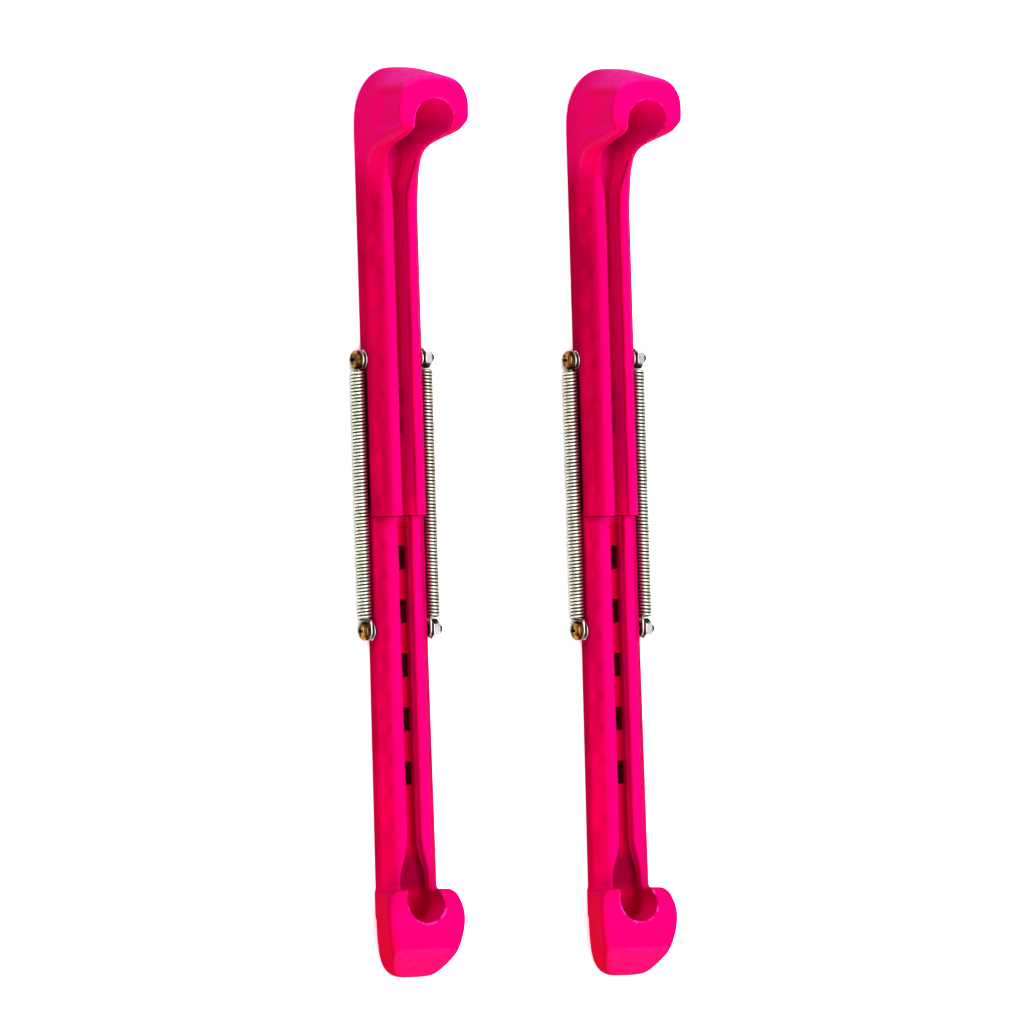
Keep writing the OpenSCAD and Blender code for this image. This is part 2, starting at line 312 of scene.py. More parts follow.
def heel_field(x, y, z):
    """The heel shell: a slotted bar that ends in a short, wide cup open to the front."""
    aside = np.abs(x)
    half_bar = HALF_W - 0.1 + 0.5 * np.clip((-20.0 - y) / 90.0, 0.0, 1.0)
    bar = smooth_max(roof(aside, z, HALF_LIP, HEEL_RIM_Z, half_bar, HEEL_WALL_Z), aside - half_bar, 0.6)
    bar = smooth_max(bar, y - HEEL_FACE - JOINT_REACH, JOINT_ROUND)
    bar = smooth_max(bar, HEEL_CUP_FACE - 8.0 - y, 0.6)
    up = np.clip(z / HEEL_TOP, 0.0, 1.1)
    open_end = np.clip((y - HEEL_CUP_FACE + 8.0) / 8.0, 0.0, 1.0)
    half = HALF_W + 0.3 + (HEEL_HALF - 0.2 - HALF_W) * up ** 0.85 - 1.7 * up * open_end ** 2
    plan_y = HEEL_END + HEEL_ROUND_L - 3.0 * up
    cup = rounded_plan(aside, plan_y - y, half, plan_y - HEEL_END + 1.2, 3.5 - 1.4 * up)
    cup = smooth_max(cup, z - heel_cup_top(y), 2.6)
    cup = smooth_max(cup, heel_back(y, z), 0.9)
    face = HEEL_CUP_FACE - 1.5 * (np.maximum(aside - 8.0, 0.0) / 3.5) ** 2
    cup = smooth_max(cup, y - face, 0.8)
    body = smooth_min(bar, cup, 1.4)
    body = smooth_max(body, rocker(HEEL_END + 7.0 - y, z, 7.4, 5.0), 1.0)
    body = smooth_max(body, -heel_hole(aside, y, z), 0.7)
    body = body + sink_marks(aside, y, z, 6.6, -92.0, HEEL_FACE - 9.0)
    body = cut_sole(body, aside, y, z, *GROOVES["heel"], *WINDOWS["heel"])
    return cut_bore(body, y, z, SCREW_Y["heel"])


HEAD_R = 2.9
HEAD_H = 2.4
HEAD_EDGE = 0.9       # height of the head's straight edge, under its dome
HEAD_POWER = 2.3      # 2 would make the dome round, and more makes it squarer
HEAD_SEAT = HEAD_OUT + HEAD_H
CROSS_HALF = 0.42     # half the width of the cross recess's arms
CROSS_REACH = 1.7     # from the screw's axis to an arm's end
CROSS_DEPTH = 1.25
SCREW_R = 1.5
THREAD_PITCH = 0.5
THREAD_DEPTH = 0.28
NUT_FLATS = 5.5
NUT_MID = (NUT_IN + NUT_OUT) / 2
NUT_HALF = (NUT_OUT - NUT_IN) / 2
WASHER_R = 3.0
WASHER_T = -HALF_W - WASHER_OUT


def screw_field(x, y, z):
    """Cross screw at y 0, z 0: domed head with a cross recess at -x, thread towards +x."""
    around = np.arctan2(z, y)
    out = np.sqrt(y ** 2 + z ** 2)
    crown = np.maximum(HEAD_SEAT - HEAD_EDGE - x, 0.0) / (HEAD_H - HEAD_EDGE)
    head = ((out / HEAD_R) ** HEAD_POWER + crown ** HEAD_POWER) ** (1 / HEAD_POWER) - 1.0
    head = smooth_max(head * 1.6, x - HEAD_SEAT, 0.25)
    arms = smooth_min(
        smooth_max(np.abs(y) - CROSS_HALF, np.abs(z) - CROSS_REACH, 0.15),
        smooth_max(np.abs(z) - CROSS_HALF, np.abs(y) - CROSS_REACH, 0.15),
        0.25,
    )
    narrowing = 0.25 * (x - HEAD_OUT)
    recess = smooth_max(arms + narrowing, x - HEAD_OUT - CROSS_DEPTH, 0.2)
    head = smooth_max(head, -recess, 0.15)
    turn = x / THREAD_PITCH - around / (2 * math.pi)
    tooth = 2.0 * np.abs(turn - np.round(turn))
    threaded = ramp(x, NUT_IN - 1.5, NUT_IN - 1.0)
    point = np.maximum(x - TIP + 0.5, 0.0)
    shank = out - (SCREW_R - THREAD_DEPTH * tooth * threaded) + point
    shank = smooth_max(shank, x - TIP, 0.12)
    shank = smooth_max(shank, HEAD_SEAT - 0.6 - x, 0.1)
    return smooth_min(head, shank, 0.15)


def nut_field(x, y, z):
    """Hexagon nut round the x axis, corners fore and aft, both faces chamfered."""
    out = np.sqrt(y ** 2 + z ** 2)
    flats = np.maximum(np.abs(z), np.abs(z) / 2 + np.abs(y) * math.sqrt(3) / 2)
    from_face = NUT_HALF - np.abs(x - NUT_MID)
    body = smooth_max(flats - NUT_FLATS / 2, -from_face, 0.18)
    cone = (out - NUT_FLATS / 2 - 0.05 - 1.7 * from_face) / 2.0
    body = smooth_max(body, cone, 0.12)
    countersink = 1.53 + np.maximum(0.35 - from_face, 0.0)
    return smooth_max(body, countersink - out, 0.1)


def washer_field(x, y, z):
    """Flat washer round the x axis between the side wall and the hook."""
    out = np.sqrt(y ** 2 + z ** 2)
    body = smooth_max(out - WASHER_R, np.abs(x - WASHER_OUT - WASHER_T / 2) - WASHER_T / 2, 0.2)
    return smooth_max(body, BORE_R - out, 0.15)


# ---------------------------------------------------------------- meshing

CORNERS = [(i, j, k) for i in (0, 1) for j in (0, 1) for k in (0, 1)]
CELL_EDGES = [(a, b) for a in range(8) for b in range(a + 1, 8)
              if sum(abs(p - r) for p, r in zip(CORNERS[a], CORNERS[b])) == 1]


def settle(field, points, reach):
    """Moves points onto the field's zero surface by a few Newton steps of at most reach mm."""
    step = 0.02
    for _ in range(3):
        value = field(*points.T)
        grad = np.stack([
            (field(*(points + step * axis).T) - field(*(points - step * axis).T)) / (2 * step)
            for axis in np.eye(3)
        ], axis=1)
        move = (value / np.maximum((grad ** 2).sum(1), 0.04))[:, None] * grad
        size = np.linalg.norm(move, axis=1, keepdims=True)
        points = points - move * np.minimum(1.0, reach / np.maximum(size, 1e-9))
    return points


def net(field, xs, ys, zs):
    """Closed quad mesh of field < 0: one vertex in each grid cell that the surface crosses."""
    value = field(xs[:, None, None], ys[None, :, None], zs[None, None, :])
    value = np.broadcast_to(value, (len(xs), len(ys), len(zs)))
    inside = value < 0
    count = sum(inside[i:len(xs) - 1 + i, j:len(ys) - 1 + j, k:len(zs) - 1 + k].astype(np.int8)
                for i, j, k in CORNERS)
    cells = np.argwhere((count > 0) & (count < 8))
    number = np.full(count.shape, -1, np.int64)
    number[tuple(cells.T)] = np.arange(len(cells))
    at = np.stack([value[tuple((cells + corner).T)] for corner in CORNERS], axis=1)
    total = np.zeros((len(cells), 3))
    hits = np.zeros(len(cells))
    for a, b in CELL_EDGES:
        cross = (at[:, a] < 0) != (at[:, b] < 0)
        share = np.where(cross, at[:, a] / np.where(cross, at[:, a] - at[:, b], 1.0), 0.0)
        spot = np.array(CORNERS[a]) + share[:, None] * (np.array(CORNERS[b]) - np.array(CORNERS[a]))
        total += spot * cross[:, None]
        hits += cross
    spot = total / hits[:, None]
    axes = (xs, ys, zs)
    points = np.stack([
        axis[cells[:, n]] + spot[:, n] * (axis[cells[:, n] + 1] - axis[cells[:, n]])
        for n, axis in enumerate(axes)
    ], axis=1)
    quads = []
    for n in range(3):
        u, v = (n + 1) % 3, (n + 2) % 3
        first = np.moveaxis(inside, n, 0)[:-1]
        second = np.moveaxis(inside, n, 0)[1:]
        edge = np.argwhere(np.moveaxis(first != second, 0, n))
        edge = edge[(edge[:, u] > 0) & (edge[:, v] > 0)]
        du, dv = np.eye(3, dtype=int)[u], np.eye(3, dtype=int)[v]
        ring = [number[tuple((edge - shift).T)] for shift in (du + dv, dv, 0 * du, du)]
        quad = np.stack(ring, axis=1)
        leaving = inside[tuple(edge.T)]
        quads.append(np.where(leaving[:, None], quad, quad[:, ::-1]))
    return points, np.concatenate(quads).tolist()


def spread(*stretches):
    """Grid lines: each stretch is (start, stop, step), and they follow one another."""
    lines = [np.linspace(a, b, max(2, int(round((b - a) / step)) + 1)) for a, b, step in stretches]
    return np.unique(np.concatenate(lines))


def add_object(name, data):
    """Puts a mesh, a lamp or a camera into the scene."""
    thing = bpy.data.objects.new(name, data)
    bpy.context.scene.collection.objects.link(thing)
    return thing


def make_object(name, points, faces):
    """A smooth-shaded mesh object from points in mm."""
    mesh = bpy.data.meshes.new(name)
    mesh.from_pydata((points * MM).tolist(), [], faces)
    mesh.update()
    mesh.shade_smooth()
    return add_object(name, mesh)


def add_layer(mesh, name, values):
    """Keeps one number for each vertex, for a material to read."""
    layer = mesh.attributes.new(name, "FLOAT", "POINT")
    layer.data.foreach_set("value", np.asarray(values, dtype=np.float32))


def finish_piece(piece, material, node):
    """Gives a piece its material and hides the CAD node that it stands for."""
    piece.data.materials.append(material)
    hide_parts(node)


# ---------------------------------------------------------------- materials

def new_material(name):
    """An empty node material with its shader and a helper that adds linked nodes."""
    material = bpy.data.materials.new(name)
    material.use_nodes = True
    tree = material.node_tree
    tree.nodes.clear()
    output = tree.nodes.new("ShaderNodeOutputMaterial")
    shader = tree.nodes.new("ShaderNodeBsdfPrincipled")
    tree.links.new(shader.outputs["BSDF"], output.inputs["Surface"])

    def add(kind, inputs=(), **settings):
        node = tree.nodes.new("ShaderNode" + kind)
        for key, value in settings.items():
            setattr(node, key, value)
        for socket, value in dict(inputs).items():
            if isinstance(value, bpy.types.NodeSocket):
                tree.links.new(value, node.inputs[socket])
            else:
                node.inputs[socket].default_value = value
        return node

    return material, shader, add, tree.links.new


def noise(add, place_in, scale, detail=4.0, roughness=0.55):
    """Noise of that many cells to the metre."""
    node = add("TexNoise", {"Vector": place_in, "Scale": scale, "Detail": detail, "Roughness": roughness})
    return node.outputs["Fac"]


def mapped(add, value, low=0.0, high=1.0, start=0.3, stop=0.7):
    """value, from start..stop, brought to low..high and held there."""
    settings = {"Value": value, "From Min": start, "From Max": stop, "To Min": low, "To Max": high}
    return add("MapRange", settings).outputs["Result"]


def mixed(add, share, under, over):
    """Colour over laid on colour under by that share."""
    return add("Mix", {0: share, 6: under, 7: over}, data_type="RGBA").outputs[2]


def painted(add, zone, under, over):
    """Colour over laid on colour under in a zone that the mesh carries as a layer."""
    share = add("Attribute", attribute_name=zone).outputs["Fac"]
    return mixed(add, share, under, over)


def two_tone(add, value, dark, light):
    """Colour from dark to light over the middle of a noise."""
    shade = add("ValToRGB", {"Fac": value})
    for element, place, colour in zip(shade.color_ramp.elements, (0.38, 0.60), (dark, light)):
        element.position = place
        element.color = colour
    return shade.outputs["Color"]


DARK_PINK = (0.45, 0.0, 0.084, 1.0)          # the bars' plastic, in its darker clouds
PLAIN_PINK = (0.56, 0.0, 0.112, 1.0)         # and in its lighter ones
CUP_PINK = (0.58, 0.0, 0.145, 1.0)           # painted sheen: the cups are painted a little pinker than the bars
LIP_HIGHLIGHT_PINK = (0.57, 0.0, 0.155, 1.0)           # and so are the lips, as a painted highlight on their flat tops
TOE_SIDE_PINK = (0.66, 0.004, 0.185, 1.0)    # painted light on the toe cup's sides
HEEL_SIDE_PINK = (0.66, 0.0, 0.100, 1.0)     # painted light, redder, on the heel cup's sides
WALL_PINK = (0.84, 0.0, 0.350, 1.0)          # painted light on the slot's walls, which are painted paler than the bars
THROAT_PINK = (0.97, 0.0, 0.420, 1.0)        # and the most painted light in the toe's throat
TOE_RECESS_PINK = (0.72, 0.0, 0.330, 1.0)    # painted light in the deep toe recess, which is painted pale
HEEL_RECESS_PINK = (0.63, 0.0, 0.130, 1.0)   # less painted light in the heel's recess, which stays redder
FLOOR_PINK = (0.50, 0.0, 0.068, 1.0)         # painted shade on the slot's floor
PAINTED_SHADE_PINK = (0.16, 0.0, 0.040, 1.0)        # painted shadow by the springs, and painted shade in the heel's throat
WINDOW_PINK = (0.26, 0.0, 0.050, 1.0)        # painted shade in the drain windows
END_HIGHLIGHT_PINK = (0.66, 0.06, 0.270, 1.0)      # painted highlight on the toe's front, the toe's ridge and the heel's back edge
RIM_GLINT_PINK = (0.95, 0.10, 0.36, 1.0)        # painted glints on the rims of the recesses


def moulded_plastic():
    """Satin hot pink moulded plastic with faint flow clouds, fine grain and light scuffs, and zones of
    painted light, shade, highlights and glints.
    """
    material, shader, add, link = new_material("shell_plastic")
    here = add("TexCoord").outputs["Object"]
    clouds = noise(add, here, 70.0, 5.0)
    stretched = add("Mapping", {"Vector": here, "Scale": (1.0, 0.12, 1.0)}).outputs["Vector"]
    flow = noise(add, stretched, 260.0, 3.0)
    both = add("Math", {0: clouds, 1: flow}, operation="ADD").outputs[0]
    half = add("Math", {0: both, 1: 0.5}, operation="MULTIPLY").outputs[0]
    along = add("SeparateXYZ", {"Vector": here}).outputs["Y"]
    distance = add("Math", {0: along}, operation="ABSOLUTE").outputs[0]
    in_cup = mapped(add, distance, start=0.100, stop=0.122)
    at_toe = mapped(add, along, start=-0.01, stop=0.01)
    # the cups are painted pinker than the bars, as a painted sheen
    pink = mixed(add, in_cup, two_tone(add, half, DARK_PINK, PLAIN_PINK), CUP_PINK)
    # zones of painted light and painted shade, which the mesh carries as layers
    zones = (
        ("lip", LIP_HIGHLIGHT_PINK),
        ("toe_side_light", TOE_SIDE_PINK),
        ("heel_side_light", HEEL_SIDE_PINK),
        ("slot_wall", WALL_PINK),
        ("throat", THROAT_PINK),
        ("recess_wall", mixed(add, at_toe, HEEL_RECESS_PINK, TOE_RECESS_PINK)),
        ("slot_floor", FLOOR_PINK),
        ("spring_and_throat_shade", PAINTED_SHADE_PINK),
        ("window", WINDOW_PINK),
    )
    for zone, colour in zones:
        pink = painted(add, zone, pink, colour)
    # patches of painted highlight and of painted glints
    highlight_patches = mapped(add, noise(add, here, 500.0, 6.0, 0.7), 0.25, 1.0)
    glint_patches = mapped(add, noise(add, here, 420.0, 2.0), start=0.48, stop=0.60)
    for zone, patches, colour in (("end_highlight", highlight_patches, END_HIGHLIGHT_PINK), ("recess_rim_glint", glint_patches, RIM_GLINT_PINK)):
        share = add("Attribute", attribute_name=zone).outputs["Fac"]
        patchy = add("Math", {0: share, 1: patches}, operation="MULTIPLY").outputs[0]
        pink = mixed(add, patchy, pink, colour)
    link(pink, shader.inputs["Base Color"])
    scuffs = noise(add, here, 900.0, 6.0, 0.7)
    link(mapped(add, scuffs, 0.36, 0.52), shader.inputs["Roughness"])
    grain = noise(add, here, 2600.0, 2.0)
    soft = noise(add, here, 240.0, 3.0)
    height = add("Math", {0: soft, 1: 2.5, 2: grain}, operation="MULTIPLY_ADD").outputs[0]
    bump = add("Bump", {"Strength": 0.25, "Distance": 0.0001, "Height": height})
    link(bump.outputs["Normal"], shader.inputs["Normal"])
    shader.inputs["Specular IOR Level"].default_value = 0.008
    return material


TURN_SHADE_GREY = (0.08, 0.078, 0.060, 1.0)     # painted shade between a spring's turns and along their outer edges


def plated_metal(name, light, dark, roughness, patch_scale, grain_scale):
    """Plated hardware: patches of tarnish between two colours, a fine rolled grain, and painted shade
    where the mesh carries a groove layer.
    """
    material, shader, add, link = new_material(name)
    here = add("TexCoord").outputs["Object"]
    patches = noise(add, here, patch_scale, 5.0, 0.6)
    plating = two_tone(add, patches, (*dark, 1.0), (*light, 1.0))
    # painted shade between a spring's turns, from the mesh's groove layer
    link(painted(add, "groove", plating, TURN_SHADE_GREY), shader.inputs["Base Color"])
    grain = noise(add, here, grain_scale, 3.0)
    link(mapped(add, grain, roughness - 0.06, roughness + 0.08), shader.inputs["Roughness"])
    bump = add("Bump", {"Strength": 0.2, "Distance": 0.00003, "Height": grain})
    link(bump.outputs["Normal"], shader.inputs["Normal"])
    shader.inputs["Metallic"].default_value = 1.0
    return material


def floor_material():
    """Matt, nearly white table top."""
    material, shader, add, link = new_material("floor_white")
    here = add("TexCoord").outputs["Object"]
    speck = noise(add, here, 60.0)
    shade = add("ValToRGB", {"Fac": speck})
    shade.color_ramp.elements[0].color = (0.84, 0.84, 0.84, 1.0)
    shade.color_ramp.elements[1].color = (0.87, 0.87, 0.87, 1.0)
    link(shade.outputs["Color"], shader.inputs["Base Color"])
    shader.inputs["Roughness"].default_value = 0.9
    shader.inputs["Specular IOR Level"].default_value = 0.1
    return material


PLASTIC = moulded_plastic()
BRASS = plated_metal("screw_brass", (0.40, 0.26, 0.10), (0.11, 0.06, 0.022), 0.20, 400.0, 5000.0)
ZINC = plated_metal("zinc_steel", (0.66, 0.66, 0.655), (0.52, 0.53, 0.53), 0.36, 600.0, 4000.0)
STEEL = plated_metal("spring_steel", (0.86, 0.87, 0.79), (0.70, 0.72, 0.63), 0.45, 500.0, 4000.0)


# ---------------------------------------------------------------- shells and hardware

def shell_grids():
    """Grid lines of the toe shell and the heel shell: coarse along the bars, finest at the joint."""
    across, upright, tall = 0.5, 0.45, 0.55
    joint_step, bar_step, cup_step = 0.1, 0.6, 0.5
    edge = 1.0
    joint = 0.5
    toe = (
        spread((-TOE_HALF - edge, TOE_HALF + edge, across)),
        spread((TOE_FACE - joint, TOE_FACE + joint, joint_step), (TOE_FACE + joint, 95.0, bar_step),
               (95.0, TOE_END + edge, cup_step)),
        spread((-edge, 16.0, upright), (16.0, TOE_TOP + edge, tall)),
    )
    heel = (
        spread((-HEEL_HALF - edge, HEEL_HALF + edge, across)),
        spread((HEEL_END - edge, -96.0, cup_step), (-96.0, HEEL_FACE - joint, bar_step),
               (HEEL_FACE - joint, HEEL_FACE + joint, joint_step)),
        spread((-edge, HEEL_TOP + edge, upright)),
    )
    return toe, heel


def painted_light_zones(hole, rim, windows, window_l, points):
    """Each point's share, 0 to 1, in every zone where the plastic's material paints light or shade."""
    x, y, z = points.T
    aside = np.abs(x)
    clear = hole(aside, y, z)
    below_rim = rim(y) - z
    in_slot = 1.0 - ramp(clear, 0.3, 0.9)
    outside = 1.0 - in_slot
    by_recess = ramp(np.where(y > 0, y - 6.0, -y), 104.0, 113.0)
    # painted shade on the slot's floor, lighter in the toe shell
    floor = in_slot * ramp(-z, -FLOOR_Z - 0.9, -FLOOR_Z - 0.2) * np.where(y > 0, 0.4, 1.0)
    # the walls of the slot, the throats and the recesses are painted paler, as painted light
    wall = in_slot * ramp(below_rim, 0.4, 3.0) * (1.0 - floor)
    # painted glints along the rims of the recesses
    recess_rim_glint = (1.0 - ramp(clear, 0.35, 0.7)) * ramp(-below_rim, -0.8, -0.3)

    # painted shade in the drain windows
    nearest = np.min([np.abs(y - centre) for centre in windows], axis=0)
    in_window = (aside < 2.4) * (nearest < window_l / 2 + 0.5) * (z > 0.4)

    # painted highlight on the toe's front, the heel's back edge and the toe's ridge
    toe_front = ramp(y, TOE_END - 8.5, TOE_END - 5.5) * ramp(z, 12.0, 26.0)
    toe_front = toe_front * ramp(-z, -TOE_TOP + 0.4, -TOE_TOP + 1.2)
    back_edge = 0.5 * (1.0 - ramp(np.abs(heel_back(y, z)), 0.2, 0.8)) * (y < HEEL_END + 9.0)
    off_ridge = np.abs(z - toe_wall(y)) / np.sqrt(1.0 + slope(y, TOE_WALL, RIM_BLUR) ** 2)
    ridge = (1.0 - ramp(off_ridge, 0.2, 0.9)) * ramp(y, 107.0, 112.0) * ramp(-y, -121.0, -118.0)
    ridge = 0.8 * (ridge * (aside > 8.0))

    # painted light on the shells' sides below the rim
    under_rim = outside * ramp(below_rim, 0.1, 2.4)
    # painted light low on the heel cup's sides
    low_side = outside * ramp(below_rim, -0.5, 5.0) * ramp(-y, 108.0, 118.0)
    low_side = low_side * ramp(-heel_back(y, z), 0.5, 2.5)

    # painted shadow on the toe shell's side wall under the spring
    last_turn = SCREW_Y["toe"] - 3.0
    by_spring = ramp(y, TOE_FACE + 0.5, TOE_FACE + 3.0) * ramp(-y, -last_turn, -last_turn + 2.0)
    by_spring = by_spring * (aside > HALF_W - 0.6)
    by_spring = by_spring * ramp(-z, -SCREW_Z - 2.4, -SCREW_Z - 1.2) * ramp(z, 1.0, 2.0)
    # painted shade on the floor of the heel's throat
    in_heel_throat = ramp(-y, 100.0, 105.0) * ramp(y, -115.0, -111.0)
    return {
        "window": in_window * ramp(-z, -FLOOR_Z + 0.1, -FLOOR_Z + 0.6),
        "end_highlight": np.maximum(np.maximum(toe_front, back_edge), ridge),
        # painted highlight on the flat tops of the lips
        "lip": outside * ramp(-below_rim, -3.6, -0.3) * (1.0 - ramp(np.abs(y), 104.0, 113.0)),
        "throat": wall * ramp(y, 100.0, 108.0) * ramp(-y, -118.0, -115.0),
        "toe_side_light": under_rim * ramp(y, 102.0, 116.0),
        "heel_side_light": np.maximum(0.2 * under_rim * ramp(-y, 40.0, 100.0), low_side),
        "spring_and_throat_shade": 0.5 * floor * in_heel_throat + by_spring,
        "slot_floor": floor,
        "slot_wall": wall * (1.0 - by_recess),
        # painted light on the walls of the recesses
        "recess_wall": wall * by_recess,
        "recess_rim_glint": recess_rim_glint * ramp(np.abs(y), 111.0, 115.0),
    }


def make_shells():
    """Both toe shells and both heel shells, with their zones of painted light and shade as layers."""
    toe_grid, heel_grid = shell_grids()
    kinds = (
        ("toe", toe_field, toe_hole, toe_rim, toe_grid),
        ("heel", heel_field, heel_hole, heel_rim, heel_grid),
    )
    for part, field, hole, rim, grid in kinds:
        points, faces = net(field, *grid)
        points = settle(field, points, 0.3)
        zones = painted_light_zones(hole, rim, *WINDOWS[part], points)
        for side in SIDES:
            node = f"{side}_{part}_shell"
            piece = make_object(node + "_moulding", points + PLACE[side], faces)
            for name, share in zones.items():
                add_layer(piece.data, name, share)
            finish_piece(piece, PLASTIC, node)
            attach(piece, f"{side}_{part}")


def make_hardware():
    """All the screws, nuts and washers: one shape of each kind, placed at the four screws."""
    fine = 0.11
    screw_grid = (
        spread((HEAD_OUT - 0.3, HEAD_SEAT + 0.5, fine), (HEAD_SEAT + 0.5, NUT_IN - 1.7, 0.8),
               (NUT_IN - 1.7, TIP + 0.3, 0.08)),
        spread((-HEAD_R - 0.3, HEAD_R + 0.3, fine)),
        spread((-HEAD_R - 0.3, HEAD_R + 0.3, fine)),
    )
    nut_grid = (
        spread((NUT_IN - 0.3, NUT_OUT + 0.3, fine)),
        spread((-3.5, 3.5, fine)),
        spread((-3.1, 3.1, fine)),
    )
    washer_grid = (
        spread((WASHER_OUT - 0.3, -HALF_W + 0.3, fine)),
        spread((-3.3, 3.3, 0.14)),
        spread((-3.3, 3.3, 0.14)),
    )
    kinds = (
        ("screw", screw_field, screw_grid, BRASS, "screw_brass"),
        ("nut", nut_field, nut_grid, ZINC, "zinc_steel"),
        ("washer", washer_field, washer_grid, ZINC, "zinc_steel"),
    )
    for kind, field, grid, material, slot in kinds:
        points, faces = net(field, *grid)
        points = settle(field, points, 0.06)
        for side in SIDES:
            for end in ("toe", "heel"):
                node = f"{side}_{end}_{kind}"
                at = PLACE[side] + (0.0, SCREW_Y[end], SCREW_Z)
                piece = make_object(node + "_finished", points + at, faces)
                finish_piece(piece, material, node)
                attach(piece, f"{side}_{end}")


# ---------------------------------------------------------------- springs

WIRE_R = 0.45
TURN_R = 0.5          # the turns are drawn a little thicker so that they touch
COIL_MEAN_R = 1.8
HOOK_R = 2.05
TURNS = 73
STEPS_A_TURN = 18
COIL_GAP = 3.7        # from a screw's axis to the first turn
COIL_X = HALF_W + 0.1 + COIL_MEAN_R + TURN_R
WIRE_SIDES = 12
HOOK_X = {"head": WASHER_OUT - 0.2 - WIRE_R, "nut": HALF_W + 0.2 + WIRE_R}


def hook_path(hook_x, coil_x):
    """Wire from the coil's last turn to the open end of the hook: across, along, up from the screw."""
    rise = []
    for a in np.linspace(0.0, math.pi / 2, 8):
        across = coil_x + (hook_x - coil_x) * math.sin(a)
        rise.append((across, COIL_GAP - 1.6 * (1 - math.cos(a)), HOOK_R * math.sin(a)))
    run = [(hook_x, along, HOOK_R) for along in (1.4, 0.7)]
    bend = [(hook_x, HOOK_R * math.cos(a), HOOK_R * math.sin(a))
            for a in np.radians(np.linspace(90.0, 378.0, 28))]
    return np.array(rise + run + bend)


def spring_path(sign, hook_x):
    """Centre line of one spring, hook to hook: sign is -1 on the heads' side and +1 on the nuts'."""
    start = SCREW_Y["heel"] + COIL_GAP
    span = SCREW_Y["toe"] - COIL_GAP - start
    t = np.linspace(0.0, 1.0, TURNS * STEPS_A_TURN + 1)
    turn = 2 * math.pi * TURNS * t
    coil = np.stack([
        sign * (COIL_X - COIL_MEAN_R * np.cos(turn)),
        start + span * t,
        SCREW_Z - COIL_MEAN_R * np.sin(turn),
    ], axis=1)
    inner = sign * (COIL_X - COIL_MEAN_R)
    hook = hook_path(hook_x, inner)
    first = hook + (0, SCREW_Y["heel"], SCREW_Z)
    last = hook * (1, -1, -1) + (0, SCREW_Y["toe"], SCREW_Z)
    path = np.concatenate([first[::-1][:-1], coil, last[1:]])
    from_end = np.minimum(path[:, 1] - SCREW_Y["heel"], SCREW_Y["toe"] - path[:, 1])
    thick = WIRE_R + (TURN_R - WIRE_R) * ramp(from_end, COIL_GAP - 0.5, COIL_GAP + 1.0)
    return path, thick


def wire(path, radii, sides):
    """Closed tube along a path, its rings carried round without twist, and where painted shade falls on it
    between the turns.
    """
    ahead = np.gradient(path, axis=0)
    ahead /= np.linalg.norm(ahead, axis=1, keepdims=True)
    normal = np.cross(ahead[0], (1.0, 0.3, 0.2))
    angles = np.arange(sides) * 2 * math.pi / sides
    rings = []
    grooves = []
    for centre, along, radius in zip(path, ahead, radii):
        normal = normal - along * normal.dot(along)
        normal /= np.linalg.norm(normal)
        other = np.cross(along, normal)
        outward = np.cos(angles)[:, None] * normal + np.sin(angles)[:, None] * other
        rings.append(centre + radius * outward)
        # painted shade where the wire faces along the coil, between the turns
        grooves.append(ramp(np.abs(outward[:, 1]), 0.65, 0.98))
    points = np.concatenate(rings)
    faces = []
    for ring in range(len(path) - 1):
        for n in range(sides):
            a, b = ring * sides + n, ring * sides + (n + 1) % sides
            faces.append((a, b, b + sides, a + sides))
    points = np.concatenate([points, [path[0], path[-1]]])
    first_cap, last_cap = len(points) - 2, len(points) - 1
    last_ring = (len(path) - 1) * sides
    for n in range(sides):
        faces.append((first_cap, (n + 1) % sides, n))
        faces.append((last_cap, last_ring + n, last_ring + (n + 1) % sides))
    return points, faces, np.concatenate(grooves + [[0.0, 0.0]])


def make_springs():
    """The four springs, each stretched between its guard's two halves."""
    for label, sign in (("head", -1), ("nut", 1)):
        points, faces, grooves = wire(*spring_path(sign, HOOK_X[label]), WIRE_SIDES)
        # painted shade also along each turn's outermost edge
        outermost = ramp(sign * points[:, 0] - COIL_X, 1.2, 2.2)
        turn_shade = np.maximum(grooves, 0.35 * outermost)
        for side in SIDES:
            node = f"{side}_spring_{label}_side"
            piece = make_object(node + "_wire", points + PLACE[side], faces)
            add_layer(piece.data, "groove", turn_shade)
            finish_piece(piece, STEEL, node)
            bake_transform(piece)


# ---------------------------------------------------------------- stage

FLOOR_REACH = 20000.0


def make_stage():
    """Pale floor, which lights the guards only in reflections, as a distant table would."""
    corners = np.array(((-1, -1, 0), (1, -1, 0), (1, 1, 0), (-1, 1, 0))) * FLOOR_REACH
    floor = make_object("floor", corners, [(0, 1, 2, 3)])
    floor.data.materials.append(floor_material())
    floor.visible_diffuse = False
    return floor


def add_softbox(name, direction, distance, size, watts, colour=(1.0, 1.0, 1.0)):
    """A rectangular softbox that faces the middle of the pair; distance and size are in metres."""
    light = bpy.data.lights.new(name, "AREA")
    light.shape = "RECTANGLE"
    light.size, light.size_y = size
    light.energy = watts
    light.color = colour
    lamp = add_object(name, light)
    away = Vector(direction).normalized()
    lamp.location = away * distance
    lamp.rotation_mode = "QUATERNION"
    lamp.rotation_quaternion = (-away).to_track_quat("-Z", "Y")
    return lamp


def only_for(light, name, pieces):
    """Makes a light shine on these objects alone."""
    group = bpy.data.collections.new(name)
    for piece in pieces:
        group.objects.link(piece)
    light.light_linking.receiver_collection = group


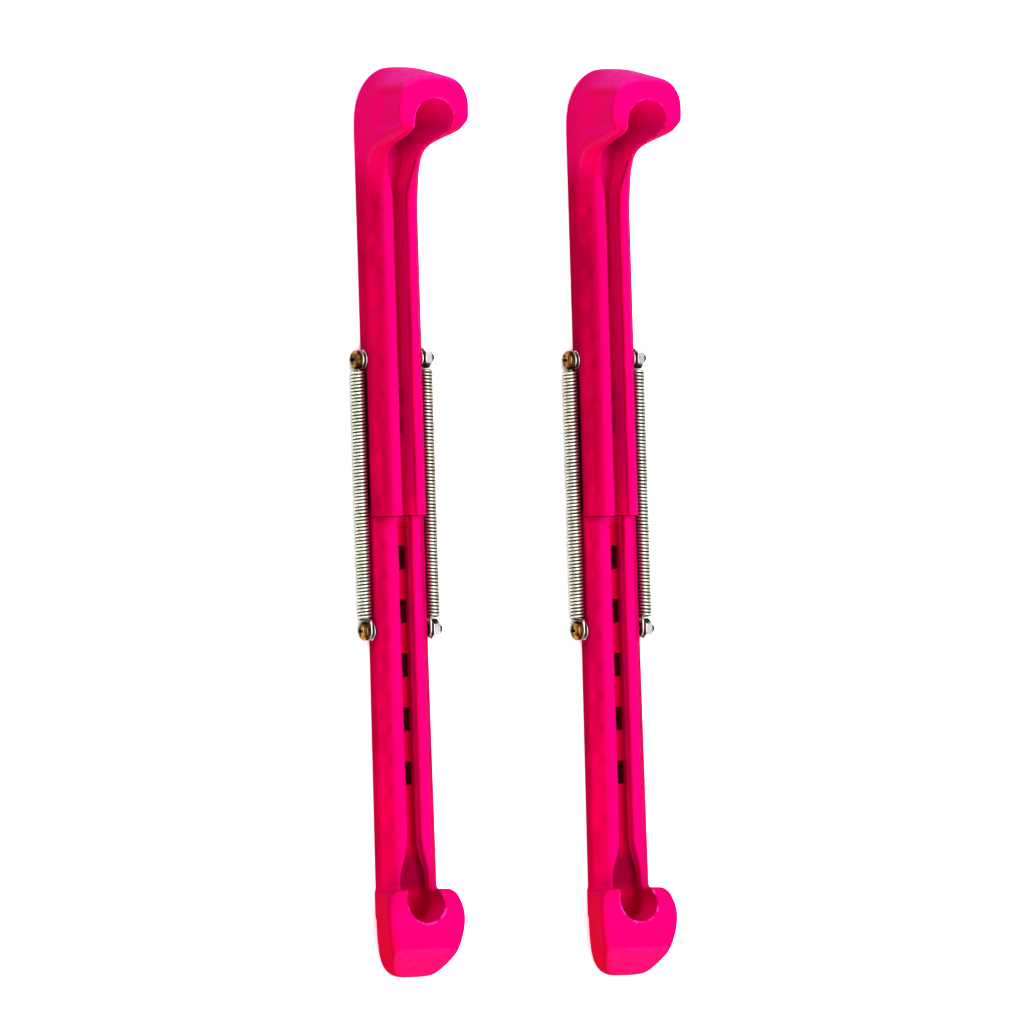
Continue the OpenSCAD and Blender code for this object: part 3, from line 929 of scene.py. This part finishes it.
LAMP_DISTANCE = 1.6   # metres
SHELL_LIGHTS = (      # name, direction, size, watts, colour
    ("key", (0.35, -0.04, 1.0), (2.0, 0.7), 31.0, (0.85, 0.85, 1.70)),
    ("front", (-0.45, 0.0, 1.0), (2.0, 0.5), 7.5, (1.0, 1.0, 1.0)),
    ("fill_toe", (-0.9, 1.1, 0.35), (0.8, 0.6), 14.5, (0.85, 0.85, 1.5)),
    ("fill_heel", (-1.0, -1.5, 0.10), (0.8, 0.6), 15.0, (1.0, 0.5, 0.08)),
    ("back", (0.0, -1.0, 0.45), (0.8, 0.4), 3.0, (1.0, 1.0, 1.0)),
    ("side", (1.0, 0.0, 0.45), (2.0, 0.4), 6.0, (0.8, 0.8, 1.2)),
)
METAL_LIGHTS = (
    ("metal_key", (0.05, 0.0, 1.0), (3.0, 0.6), 22.0, (1.0, 1.0, 1.0)),
    ("metal_fill", (-1.0, 0.1, 0.75), (3.0, 0.15), 8.0, (1.0, 1.0, 1.0)),
)
SKY_STRENGTH = 0.68


def make_lights(floor):
    """Softboxes for the plastic and for the metals, a wash for the floor, and a plain white sky."""
    pieces = [piece for piece in bpy.context.scene.objects if piece.type == "MESH" and piece is not floor]
    shells = [piece for piece in pieces if piece.name.endswith("_moulding")]
    metals = [piece for piece in pieces if piece not in shells]
    for lights, group, lit in ((SHELL_LIGHTS, "shells", shells), (METAL_LIGHTS, "metals", metals)):
        for name, direction, size, watts, colour in lights:
            lamp = add_softbox(name, direction, LAMP_DISTANCE, size, watts, colour)
            only_for(lamp, f"{name}_on_{group}", lit)
    wash = add_softbox("wash", (0.0, 0.0, 1.0), 2.0, (5.0, 5.0), 210.0)
    only_for(wash, "wash_on_floor", [floor])
    world = bpy.data.worlds.new("studio")
    world.use_nodes = True
    sky = world.node_tree.nodes["Background"]
    sky.inputs["Color"].default_value = (1.0, 1.0, 1.0, 1.0)
    sky.inputs["Strength"].default_value = SKY_STRENGTH
    bpy.context.scene.world = world


CAMERA_TILT = math.radians(24.0)     # from straight above towards the screw heads
CAMERA_ROLL = math.radians(1.75)     # the toes lean left in the picture
PICTURE_WIDTH = 316.0                # mm across the picture at the object
AIM = (3.85, 3.0)                    # mm right and up from the pair's origin
LENS = 800.0                         # mm, as is the sensor's width
SENSOR = 36.0


def make_camera():
    """Far camera with a long lens, tilted towards the screw heads and rolled a little."""
    back = Vector((-math.sin(CAMERA_TILT), 0.0, math.cos(CAMERA_TILT)))
    level = Vector((math.cos(CAMERA_TILT), 0.0, math.sin(CAMERA_TILT)))
    ahead = Vector((0.0, 1.0, 0.0))
    right = level * math.cos(CAMERA_ROLL) - ahead * math.sin(CAMERA_ROLL)
    up = ahead * math.cos(CAMERA_ROLL) + level * math.sin(CAMERA_ROLL)
    data = bpy.data.cameras.new("camera")
    data.sensor_width = SENSOR
    data.lens = LENS
    data.clip_start = 0.1
    data.clip_end = 100.0
    camera = add_object("camera", data)
    distance = PICTURE_WIDTH * LENS / SENSOR * MM
    aim = (right * AIM[0] + up * AIM[1]) * MM
    turned = Matrix((right, up, back)).transposed().to_4x4()
    camera.matrix_world = Matrix.Translation(aim + back * distance) @ turned
    bpy.context.scene.camera = camera


def set_view():
    """Plain display transform with the contrast of a product photograph."""
    view = bpy.context.scene.view_settings
    view.view_transform = "Standard"
    view.look = "None"
    view.gamma = 0.6
    view.exposure = 0.0


make_shells()
make_hardware()
make_springs()
make_lights(make_stage())
make_camera()
set_view()
